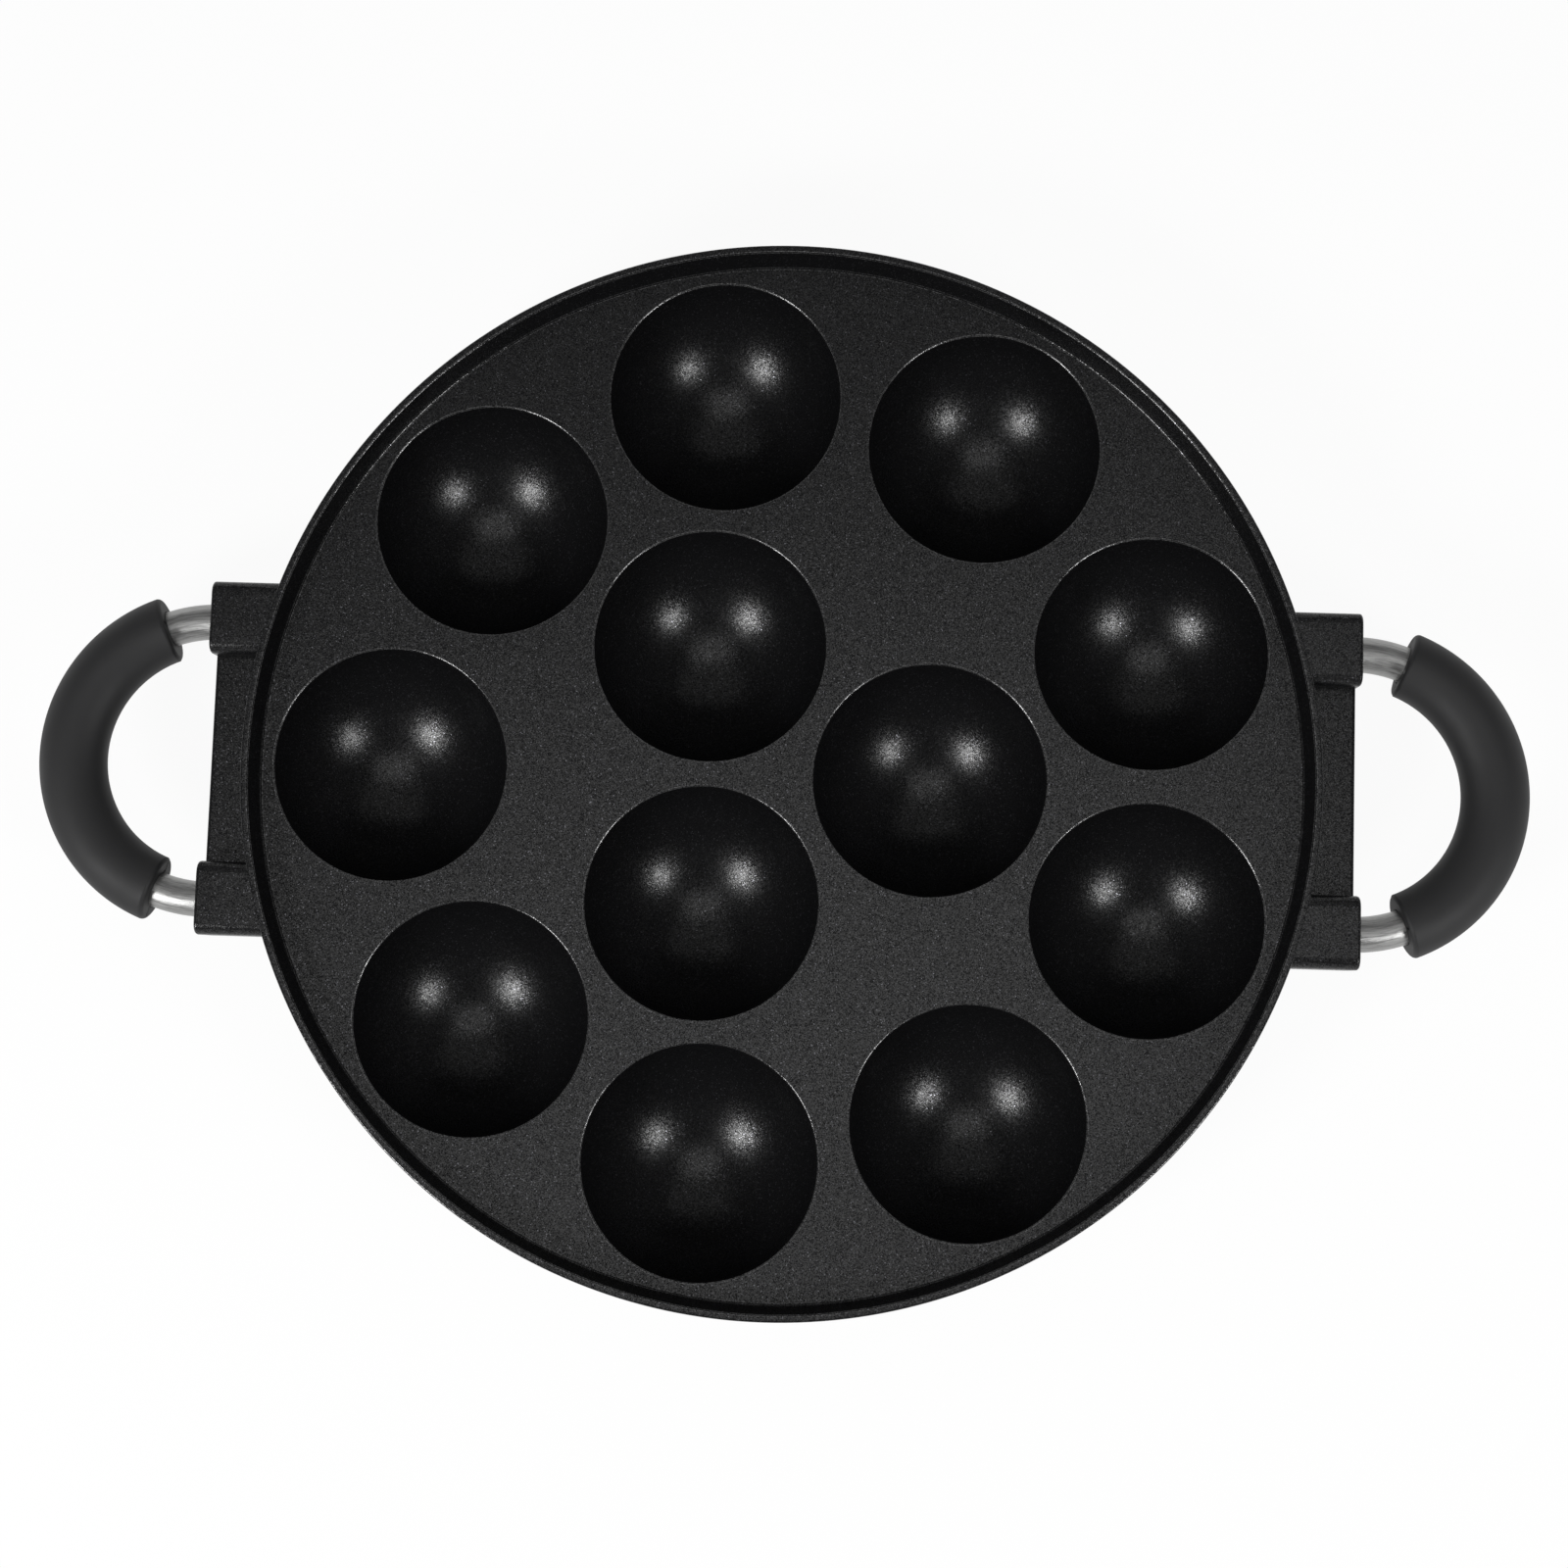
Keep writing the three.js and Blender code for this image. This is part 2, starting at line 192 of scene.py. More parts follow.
class StudioSettings(bpy.types.PropertyGroup):
    """Lamps and surroundings of the studio."""

    right_power: bpy.props.FloatProperty(
        name="Right power", description="Power of the soft box on the right", default=2.65, unit="POWER"
    )
    left_power: bpy.props.FloatProperty(
        name="Left power", description="Power of the soft box on the left", default=5.4, unit="POWER"
    )
    top_power: bpy.props.FloatProperty(
        name="Top power", description="Power of the panel overhead", default=3.95, unit="POWER"
    )
    back_power: bpy.props.FloatProperty(
        name="Back power", description="Power of the panel behind", default=2.4, unit="POWER"
    )
    ambient: share("Ambient", "Strength of the even light from all round", 0.08)
    floor_glow: share("Floor glow", "Share of pure white in the floor that the camera sees", 0.94)
    lens: bpy.props.FloatProperty(
        name="Lens", description="Focal length of the camera", default=60.9, subtype="DISTANCE_CAMERA"
    )


def select_only(piece):
    """Deselects everything else and makes a piece the active one."""
    bpy.ops.object.select_all(action="DESELECT")
    piece.select_set(True)
    bpy.context.view_layer.objects.active = piece


def place_in_mesh():
    """Moves the place, turn and size of the active object into its mesh, and returns the object."""
    piece = bpy.context.object
    select_only(piece)
    bpy.ops.object.transform_apply(location=True, rotation=True, scale=True)
    return piece


@contextmanager
def editing(piece):
    """Holds a piece in edit mode, ready to select edges."""
    select_only(piece)
    bpy.ops.object.mode_set(mode="EDIT")
    bpy.ops.mesh.select_mode(type="EDGE")
    yield
    bpy.ops.object.mode_set(mode="OBJECT")


def pick(kind, test):
    """Selects the faces, edges or vertices of the piece in edit mode that pass a test."""
    bpy.ops.mesh.select_mode(type=kind)
    bpy.ops.mesh.select_all(action="DESELECT")
    mesh = bpy.context.object.data
    shape = bmesh.from_edit_mesh(mesh)
    found = [part for part in {"EDGE": shape.edges, "FACE": shape.faces}[kind] if test(part)]
    if not found:
        raise RuntimeError(f"nothing to pick on {bpy.context.object.name}")
    for part in found:
        part.select_set(True)
    shape.select_flush_mode()
    bmesh.update_edit_mesh(mesh)


def pick_ring(radius, height):
    """Selects the ring of edges about the Z axis at a radius and a height."""

    def on_ring(edge):
        return all(
            abs(math.hypot(v.co.x, v.co.y) - radius) < SNAP and abs(v.co.z - height) < SNAP
            for v in edge.verts
        )

    pick("EDGE", on_ring)


def cut_off(height, **side):
    """Cuts the piece in edit mode at a height and clears what lies on one side."""
    bpy.ops.mesh.select_all(action="SELECT")
    level = {"plane_co": (0, 0, height), "plane_no": (0, 0, 1), "threshold": SNAP / 10}
    bpy.ops.mesh.bisect(**level, **side)


def pick_open_ring(height):
    """Selects the open edge about the Z axis at a height, and gives its (radius, height)."""
    pick("EDGE", lambda e: e.is_boundary and all(abs(v.co.z - height) < SNAP for v in e.verts))
    shape = bmesh.from_edit_mesh(bpy.context.object.data)
    first = next(vertex for vertex in shape.verts if vertex.select)
    return math.hypot(first.co.x, first.co.y), height


def extrude_ring(start, profile):
    """Extrudes the selected ring about the Z axis from one (radius, height) through others."""
    radius, height = start
    for next_radius, next_height in profile:
        rise = (0, 0, next_height - height)
        spread = next_radius / radius
        bpy.ops.mesh.extrude_region_move(TRANSFORM_OT_translate={"value": rise})
        bpy.ops.transform.resize(value=(spread, spread, 1), center_override=(0, 0, next_height))
        radius, height = next_radius, next_height


def arc(centre, radius, from_angle, to_angle, steps):
    """Points of an arc as (radius, height) pairs, without the first one."""
    angles = (from_angle + (to_angle - from_angle) * i / steps for i in range(1, steps + 1))
    return [(centre[0] + radius * math.cos(a), centre[1] + radius * math.sin(a)) for a in angles]


def bevel(width, steps=EDGE_STEPS):
    """Rounds the selected edges."""
    bpy.ops.mesh.bevel(offset=width, segments=steps, affect="EDGES")


def copy_at(piece, offset, turn):
    """A copy of a piece with its own mesh, moved and then turned about the Z axis."""
    select_only(piece)
    bpy.ops.object.duplicate(linked=False)
    bpy.ops.transform.translate(value=offset)
    bpy.ops.transform.rotate(value=turn, orient_axis="Z", center_override=(0, 0, 0))
    return place_in_mesh()


def combine(piece, tools, operation):
    """Joins other solids to a piece, or cuts them from it, and removes them."""
    for tool in tools:
        select_only(piece)
        bpy.ops.object.modifier_add(type="BOOLEAN")
        step = piece.modifiers[-1]
        step.operation = operation
        step.solver = "EXACT"
        step.object = tool
        bpy.ops.object.modifier_apply(modifier=step.name)
        bpy.data.objects.remove(tool)


def smooth(piece):
    """Shades a piece smooth, with sharp edges left sharp and broad faces left flat."""
    select_only(piece)
    bpy.ops.object.shade_smooth_by_angle(angle=SMOOTH_ANGLE)
    bpy.ops.object.modifier_add(type="WEIGHTED_NORMAL")
    piece.modifiers[-1].keep_sharp = True
    bpy.ops.object.modifier_apply(modifier=piece.modifiers[-1].name)


def hand_over(piece, name, materials, node):
    """Names a finished piece, gives it its materials and sets it in place of its CAD node."""
    piece.name = name
    piece.data.name = name
    piece.data.materials.clear()
    for material in materials:
        piece.data.materials.append(material)
    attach(piece, BODY)
    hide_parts(node)


def cylinder(radius, low, high, sides, turn=(0, 0, 0)):
    """A cylinder between two points of a straight axis that is upright before it is turned."""
    low, high = Vector(low), Vector(high)
    bpy.ops.mesh.primitive_cylinder_add(
        vertices=sides,
        radius=radius,
        depth=(high - low).length,
        location=(low + high) / 2,
        rotation=turn,
    )
    return place_in_mesh()


def block(low, high):
    """A block between two corners."""
    low, high = Vector(low), Vector(high)
    bpy.ops.mesh.primitive_cube_add(size=1.0, location=(low + high) / 2, scale=high - low)
    return place_in_mesh()


def add_node(tree, kind, settings=None, inputs=None):
    """Adds a node with its settings; an input is a value or the output that it is linked to."""
    node = tree.nodes.new(kind)
    for key, value in (settings or {}).items():
        setattr(node, key, value)
    for key, value in (inputs or {}).items():
        if isinstance(value, bpy.types.NodeSocket):
            tree.links.new(value, node.inputs[key])
        else:
            node.inputs[key].default_value = value
    return node


def new_material(name, **values):
    """A material with one shader, whose sockets hold these values, and its output."""
    material = bpy.data.materials.new(name)
    material.use_nodes = True
    tree = material.node_tree
    tree.nodes.clear()
    shader = add_node(tree, "ShaderNodeBsdfPrincipled")
    for key, value in values.items():
        shader.inputs[key.replace("_", " ")].default_value = value
    add_node(tree, "ShaderNodeOutputMaterial", inputs={"Surface": shader.outputs["BSDF"]})
    return material, tree, shader


def nonstick_coating(finish, name, index, gloss):
    """Non-stick coating with mica, sprayed on cast aluminium and baked.

    The ground is near black with the low gloss of a baked polymer, so lamps show in it as soft
    spots. The drops of the spray and the mica under them turn each grain of the surface a little
    another way, which breaks every highlight into fine grains, and the odd flake sparkles.
    """
    material, tree, shader = new_material(name, IOR=index)
    place = add_node(tree, "ShaderNodeTexCoord").outputs["Object"]
    # The mica lies some 0.1 to 0.2 mm apart; drawn at 0.2 mm so that single grains show
    grains = add_node(
        tree, "ShaderNodeTexVoronoi", inputs={"Vector": place, "Scale": 1 / 0.0002}
    )
    lean = add_node(
        tree,
        "ShaderNodeVectorMath",
        {"operation": "SUBTRACT"},
        {0: grains.outputs["Color"], 1: (0.5, 0.5, 0.5)},
    )
    lean_a_little = add_node(
        tree,
        "ShaderNodeVectorMath",
        {"operation": "SCALE"},
        {0: lean.outputs["Vector"], "Scale": 0.1},
    )
    # Orange peel with a wave of about 1.5 mm
    peel = add_node(
        tree, "ShaderNodeTexNoise", inputs={"Vector": place, "Scale": 1 / 0.0015, "Detail": 2.0}
    )
    bumpy = add_node(
        tree,
        "ShaderNodeBump",
        inputs={"Height": peel.outputs["Fac"], "Strength": 0.3, "Distance": 0.00002},
    )
    turned = add_node(
        tree,
        "ShaderNodeVectorMath",
        {"operation": "ADD"},
        {0: bumpy.outputs["Normal"], 1: lean_a_little.outputs["Vector"]},
    )
    normal = add_node(
        tree, "ShaderNodeVectorMath", {"operation": "NORMALIZE"}, {0: turned.outputs["Vector"]}
    )
    parts = add_node(tree, "ShaderNodeSeparateColor", inputs={"Color": grains.outputs["Color"]})
    # A few grains in a hundred are flakes at the surface
    flakes = add_node(
        tree,
        "ShaderNodeMapRange",
        inputs={"Value": parts.outputs["Red"], "From Min": 0.965, "From Max": 0.995},
    )
    ground = add_node(
        tree,
        "ShaderNodeMix",
        {"data_type": "RGBA"},
        {"Factor": flakes.outputs["Result"], "A": finish.coating, "B": finish.flake},
    )
    roughness = add_node(
        tree,
        "ShaderNodeMapRange",
        inputs={"Value": parts.outputs["Green"], "To Min": gloss[0], "To Max": gloss[1]},
    )
    # Each grain holds more or less mica, and mirrors more or less
    mica = add_node(
        tree,
        "ShaderNodeMapRange",
        inputs={"Value": parts.outputs["Blue"], "To Min": 0.04, "To Max": 0.96},
    )
    tree.links.new(ground.outputs["Result"], shader.inputs["Base Color"])
    tree.links.new(flakes.outputs["Result"], shader.inputs["Metallic"])
    tree.links.new(roughness.outputs["Result"], shader.inputs["Roughness"])
    tree.links.new(mica.outputs["Result"], shader.inputs["Specular IOR Level"])
    tree.links.new(normal.outputs["Vector"], shader.inputs["Normal"])
    return material


def casting_coatings(finish):
    """The coating as it lies on broad faces, in the corner, on the lips and on the rim's edges."""
    return (
        # The top coat is mostly PTFE, whose index is 1.35; its gloss is that of a sprayed film
        nonstick_coating(finish, "sprayed_nonstick_coating", 1.35, (0.25, 0.31)),
        # In the corner round the plate it pools and levels out to a higher gloss
        nonstick_coating(finish, "pooled_nonstick_coating", 1.35, (0.1, 0.14)),
        # It draws back from the lips, where the base coat with its mica mirrors more, index 1.7
        nonstick_coating(finish, "thin_nonstick_coating", 1.7, (0.19, 0.27)),
        # The rim's edges hold a little more of the top coat than the lips
        nonstick_coating(finish, "edge_nonstick_coating", 1.5, (0.14, 0.2)),
    )


def coat_edges(casting, sizes):
    """Gives the corner round the plate, the lips of the cups and the rim's edges their coatings."""
    plate = sizes.rim_height - sizes.recess_depth
    wall = sizes.rim_radius - sizes.rim_width

    def place(face):
        middle = face.calc_center_median()
        return math.hypot(middle.x, middle.y), middle.z

    def in_corner(face):
        radius, height = place(face)
        return radius < wall and plate + HAIR < height < plate + sizes.recess_rounding

    def on_lip(face):
        radius, height = place(face)
        return radius < wall and plate - sizes.cup_lip < height < plate - HAIR / 4

    def on_rim(face):
        radius, height = place(face)
        near_top = 0 < sizes.rim_height - height < sizes.rim_rounding
        return radius < sizes.rim_radius and near_top and face.normal.z < 0.99

    with editing(casting):
        for index, test in enumerate((in_corner, on_lip, on_rim), 1):
            pick("FACE", test)
            casting.active_material_index = index
            bpy.ops.object.material_slot_assign()


def drawn_stainless_steel(finish):
    """Stainless steel rod, drawn, brushed along its length and bent.

    It mirrors the studio in blurred bands that run round the bend, broken by fine lines that the
    drawing and the brush left along the rod.
    """
    material, tree, shader = new_material("drawn_stainless_steel", Metallic=1.0)
    # The attribute holds the place along and across the rod as if it were straight
    place = add_node(tree, "ShaderNodeAttribute", {"attribute_name": "straight_rod"})
    # Lines are 0.3 mm apart across the rod and some 5 mm long
    stretch = add_node(
        tree,
        "ShaderNodeVectorMath",
        {"operation": "MULTIPLY"},
        {0: place.outputs["Vector"], 1: (1 / 0.005, 1 / 0.0003, 1 / 0.0003)},
    )
    lines = add_node(
        tree,
        "ShaderNodeTexNoise",
        inputs={"Vector": stretch.outputs["Vector"], "Scale": 1.0, "Detail": 4.0, "Roughness": 0.7},
    )
    gloss = add_node(
        tree,
        "ShaderNodeMapRange",
        inputs={
            "Value": lines.outputs["Fac"],
            "From Min": 0.35,
            "From Max": 0.65,
            "To Min": 0.28,
            "To Max": 0.48,
        },
    )
    # Dirt and painted shade in the lines: the steel colour is darkened to 0.55 in them
    depth = add_node(
        tree,
        "ShaderNodeMapRange",
        inputs={
            "Value": lines.outputs["Fac"],
            "From Min": 0.35,
            "From Max": 0.55,
            "To Min": 0.55,
            "To Max": 1.0,
        },
    )
    tone = add_node(
        tree,
        "ShaderNodeMix",
        {"data_type": "RGBA", "blend_type": "MULTIPLY"},
        {"Factor": 1.0, "A": finish.steel, "B": depth.outputs["Result"]},
    )
    scratch = add_node(
        tree,
        "ShaderNodeBump",
        inputs={"Height": lines.outputs["Fac"], "Strength": 0.6, "Distance": 0.00006},
    )
    tree.links.new(tone.outputs["Result"], shader.inputs["Base Color"])
    tree.links.new(gloss.outputs["Result"], shader.inputs["Roughness"])
    tree.links.new(scratch.outputs["Normal"], shader.inputs["Normal"])
    return material


def moulded_silicone(finish):
    """Silicone rubber, moulded in a blasted mould.

    It is matte and dark grey, with broad soft highlights and the fine stipple of the mould.
    """
    material, tree, shader = new_material("moulded_silicone", IOR=1.43)
    place = add_node(tree, "ShaderNodeTexCoord").outputs["Object"]
    # The blasted stipple is 0.1 mm; drawn at 0.3 mm so that it shows
    stipple = add_node(
        tree, "ShaderNodeTexNoise", inputs={"Vector": place, "Scale": 1 / 0.0003, "Detail": 2.0}
    )
    # Handling leaves patches of a centimetre that are a little shinier
    patches = add_node(
        tree, "ShaderNodeTexNoise", inputs={"Vector": place, "Scale": 1 / 0.011, "Detail": 2.0}
    )
    gloss = add_node(
        tree,
        "ShaderNodeMapRange",
        inputs={"Value": patches.outputs["Fac"], "To Min": 0.5, "To Max": 0.72},
    )
    tone = add_node(
        tree,
        "ShaderNodeHueSaturation",
        inputs={"Color": finish.silicone},
    )
    value = add_node(
        tree,
        "ShaderNodeMapRange",
        inputs={"Value": stipple.outputs["Fac"], "To Min": 0.8, "To Max": 1.2},
    )
    tree.links.new(value.outputs["Result"], tone.inputs["Value"])
    bumpy = add_node(
        tree,
        "ShaderNodeBump",
        inputs={"Height": stipple.outputs["Fac"], "Strength": 0.5, "Distance": 0.00004},
    )
    tree.links.new(tone.outputs["Color"], shader.inputs["Base Color"])
    tree.links.new(gloss.outputs["Result"], shader.inputs["Roughness"])
    tree.links.new(bumpy.outputs["Normal"], shader.inputs["Normal"])
    return material


def black_oxide_steel(finish):
    """Alloy steel set screw, blackened in a hot oxide bath.

    It is a dark grey metal with a satin, slightly blotchy sheen.
    """
    material, tree, shader = new_material("black_oxide_steel", Metallic=1.0)
    place = add_node(tree, "ShaderNodeTexCoord").outputs["Object"]
    # Blotches of the bath are about half a millimetre
    blotches = add_node(
        tree, "ShaderNodeTexNoise", inputs={"Vector": place, "Scale": 1 / 0.0005, "Detail": 3.0}
    )
    gloss = add_node(
        tree,
        "ShaderNodeMapRange",
        inputs={"Value": blotches.outputs["Fac"], "To Min": 0.3, "To Max": 0.5},
    )
    tone = add_node(
        tree,
        "ShaderNodeMix",
        {"data_type": "RGBA", "blend_type": "MULTIPLY"},
        {"Factor": 0.4, "A": finish.black_oxide, "B": blotches.outputs["Fac"]},
    )
    tree.links.new(tone.outputs["Result"], shader.inputs["Base Color"])
    tree.links.new(gloss.outputs["Result"], shader.inputs["Roughness"])
    return material


def cup_sphere(sizes):
    """Radius of the sphere that a cup is part of, and the height of its centre."""
    radius = (sizes.cup_radius**2 + sizes.cup_depth**2) / (2 * sizes.cup_depth)
    plate = sizes.rim_height - sizes.recess_depth
    return radius, plate - sizes.cup_depth + radius


def cup_shell(sizes):
    """Outside of a cup under the plate, on the Z axis, with its foot and the fillet at its root."""
    inner_radius, centre = cup_sphere(sizes)
    radius = inner_radius + sizes.cup_wall
    under = sizes.rim_height - sizes.recess_depth - sizes.plate_thickness
    root = under - sizes.cup_root
    root_radius = math.sqrt(radius**2 - (root - centre) ** 2)
    foot = centre - math.sqrt(radius**2 - sizes.foot_radius**2)
    bpy.ops.mesh.primitive_uv_sphere_add(
        segments=SHELL_SIDES, ring_count=SHELL_RINGS, radius=radius, location=(0, 0, centre)
    )
    shell = place_in_mesh()
    with editing(shell):
        cut_off(root, clear_outer=True)
        cut_off(foot, clear_inner=True)
        pad = pick_open_ring(foot)
        extrude_ring(pad, [(sizes.foot_radius - sizes.foot_flare, 0)])
        bpy.ops.mesh.edge_face_add()
        pick_ring(sizes.foot_radius - sizes.foot_flare, 0)
        bevel(sizes.rim_rounding, 2)
        start = pick_open_ring(root)
        flare = root_radius + sizes.cup_root
        fillet = arc((flare, root + HAIR), sizes.cup_root, math.pi, math.pi / 2, ROOT_STEPS)
        top = under + sizes.plate_thickness / 2
        extrude_ring(start, [*fillet, (flare, top)])
        bpy.ops.mesh.edge_face_add()
    return shell


def cup_hollow(sizes):
    """Inside of a cup, on the Z axis, with its rounded lip and the space above it."""
    radius, centre = cup_sphere(sizes)
    plate = sizes.rim_height - sizes.recess_depth
    lip = sizes.cup_lip
    rise = plate - lip - centre
    lip_radius = math.sqrt((radius + lip) ** 2 - rise**2)
    angle = math.atan2(rise, lip_radius)
    start = centre + radius * math.sin(angle)
    bpy.ops.mesh.primitive_uv_sphere_add(
        segments=CUP_SIDES, ring_count=CUP_RINGS, radius=radius, location=(0, 0, centre)
    )
    hollow = place_in_mesh()
    with editing(hollow):
        cut_off(start, clear_outer=True)
        mouth = pick_open_ring(start)
        edge = arc((lip_radius, plate - lip), lip, math.pi + angle, math.pi / 2, LIP_STEPS)
        extrude_ring(mouth, [*edge, (lip_radius, plate + OVERRUN)])
        bpy.ops.mesh.edge_face_add()
        bpy.ops.mesh.select_all(action="SELECT")
        # Lifted by a hair, so that the lip crosses the plate and doesn't only touch it
        bpy.ops.transform.translate(value=(0, 0, HAIR))
    return hollow


def cup_offsets(sizes):
    """Places of the cups: the outer ring has one towards -X and the inner ring one towards +X."""
    rings = ((9, sizes.outer_ring, math.pi), (3, sizes.inner_ring, 0.0))
    return [
        (radius * math.cos(start + math.tau * i / count), radius * math.sin(start + math.tau * i / count), 0)
        for count, radius, start in rings
        for i in range(count)
    ]


def pan_blank(sizes):
    """The pan as a solid disc with a tapered, rounded edge."""
    blank = cylinder(sizes.rim_radius, (0, 0, sizes.skirt_lift), (0, 0, sizes.rim_height), PAN_SIDES)
    foot = sizes.rim_radius - sizes.skirt_taper
    with editing(blank):
        pick("FACE", lambda f: f.normal.z < -0.9)
        narrow = foot / sizes.rim_radius
        bpy.ops.transform.resize(value=(narrow, narrow, 1), center_override=(0, 0, sizes.skirt_lift))
        pick_ring(foot, sizes.skirt_lift)
        bevel(sizes.rim_rounding)
        pick_ring(sizes.rim_radius, sizes.rim_height)
        bevel(sizes.rim_rounding)
    return blank


def lug_bar(pan, handle):
    """One lug: a bar with well rounded long edges and a finely rounded face."""
    top = pan.rim_height - handle.lug_drop
    half = handle.lug_width / 2
    face = handle.lug_face
    lug = block(
        (face - handle.lug_reach, handle.leg_y - half, top - handle.lug_height),
        (face, handle.leg_y + half, top),
    )
    with editing(lug):
        pick("FACE", lambda f: f.normal.z < -0.9)
        narrow = 1 - handle.lug_taper / half
        bpy.ops.transform.resize(value=(1, narrow, 1), center_override=(face, handle.leg_y, 0))
        pick("EDGE", lambda e: abs(e.verts[0].co.x - e.verts[1].co.x) > SNAP)
        bevel(handle.lug_rounding)
        pick("EDGE", lambda e: all(v.co.x > face - SNAP for v in e.verts))
        bevel(handle.face_rounding)
    return lug


def lug_web(pan, handle):
    """The low web between two lugs."""
    top = pan.rim_height - handle.web_drop
    face = handle.lug_face - handle.web_setback
    web = block(
        (handle.lug_face - handle.lug_reach, -handle.leg_y, top - handle.web_thickness),
        (face, handle.leg_y, top),
    )
    with editing(web):
        pick("EDGE", lambda e: abs(e.verts[0].co.z - e.verts[1].co.z) > SNAP)
        bevel(handle.web_corner)
        pick("EDGE", lambda e: abs(e.verts[0].co.z - e.verts[1].co.z) < SNAP)
        bevel(handle.web_rounding)
    return web


def lugs_and_webs(pan, handle):
    """The four lugs and the two webs, which reach into the wall."""
    lug = lug_bar(pan, handle)
    other_lug = copy_at(lug, (0, -2 * handle.leg_y, 0), 0.0)
    bars = [lug, other_lug, lug_web(pan, handle)]
    return bars + [copy_at(bar, (0, 0, 0), math.pi) for bar in bars]


def hollow_blank(blank, sizes):
    """Sinks the recess into the top of the blank and opens it from below."""
    rim_inner = sizes.rim_radius - sizes.rim_width
    plate = sizes.rim_height - sizes.recess_depth
    under = plate - sizes.plate_thickness
    mouth = sizes.rim_radius - sizes.skirt_taper - sizes.skirt_wall
    wall = sizes.skirt_wall
    with editing(blank):
        pick("FACE", lambda f: f.normal.z > 0.99 and f.calc_center_median().z > sizes.rim_height - SNAP)
        bpy.ops.mesh.inset(thickness=sizes.rim_width - sizes.rim_rounding)
        extrude_ring((rim_inner, sizes.rim_height), [(rim_inner - sizes.recess_flare, plate)])
        pick_ring(rim_inner, sizes.rim_height)
        bevel(sizes.rim_rounding)
        pick_ring(rim_inner - sizes.recess_flare, plate)
        bevel(sizes.recess_rounding)
        pick("FACE", lambda f: f.normal.z < -0.99 and f.calc_center_median().z < sizes.skirt_lift + SNAP)
        bpy.ops.mesh.inset(thickness=sizes.skirt_wall - sizes.rim_rounding)
        extrude_ring(
            (mouth, sizes.skirt_lift),
            [
                (sizes.rim_radius - 1.5 * wall, under - wall / 2),
                (sizes.rim_radius - 2 * wall, under),
            ],
        )


def leg_bores(pan, handle):
    """The bores for the legs of the rods and the screw holes that lead up to them."""
    radius = handle.rod_radius + handle.fit_gap
    height = handle.rod_height
    start = handle.lug_face - handle.bore_depth
    end = handle.lug_face + OVERRUN
    low = pan.rim_height - handle.lug_drop - handle.lug_height - OVERRUN
    tools = []
    for y in (-handle.leg_y, handle.leg_y):
        across = cylinder(
            radius, (start, y, height), (end, y, height), BORE_SIDES, (0, math.pi / 2, 0)
        )
        up = cylinder(
            handle.screw_radius + handle.fit_gap,
            (handle.screw_x, y, low),
            (handle.screw_x, y, height),
            BORE_SIDES,
        )
        tools += [across, up]
    return tools + [copy_at(tool, (0, 0, 0), math.pi) for tool in tools]


class TAKOYAKI_OT_casting(bpy.types.Operator):
    """Model the cast pan: plate, rim, twelve cups, skirt, lugs and webs"""

    bl_idname = "takoyaki.casting"
    bl_label = "Cast pan"
    bl_options = {"REGISTER", "UNDO"}

    def execute(self, context):
        sizes = context.scene.takoyaki_casting
        handle = context.scene.takoyaki_handle
        casting = pan_blank(sizes)
        combine(casting, lugs_and_webs(sizes, handle), "UNION")
        hollow_blank(casting, sizes)
        for model, operation in ((cup_shell, "UNION"), (cup_hollow, "DIFFERENCE")):
            tool = model(sizes)
            copies = [copy_at(tool, offset, 0.0) for offset in cup_offsets(sizes)]
            bpy.data.objects.remove(tool)
            combine(casting, copies, operation)
        combine(casting, leg_bores(sizes, handle), "DIFFERENCE")
        smooth(casting)
        coatings = casting_coatings(context.scene.takoyaki_finish)
        hand_over(casting, "pan_casting", coatings, "pan_body")
        coat_edges(casting, sizes)
        return {"FINISHED"}


def straighten(piece, handle):
    """Stores on each vertex its place on the rod as if the rod were straight."""
    leg = handle.bend_x - handle.rod_tip
    values = []
    for vertex in piece.data.vertices:
        x, y, z = vertex.co
        if x < handle.bend_x:
            along = x - handle.rod_tip
            along = along if y < 0 else 2 * leg + math.pi * handle.leg_y - along
            across = abs(y) - handle.leg_y
        else:
            along = leg + (math.atan2(y, x - handle.bend_x) + math.pi / 2) * handle.leg_y
            across = math.hypot(x - handle.bend_x, y) - handle.leg_y
        values += [along, across, z - handle.rod_height]
    straight = piece.data.attributes.new("straight_rod", "FLOAT_VECTOR", "POINT")
    straight.data.foreach_set("vector", values)


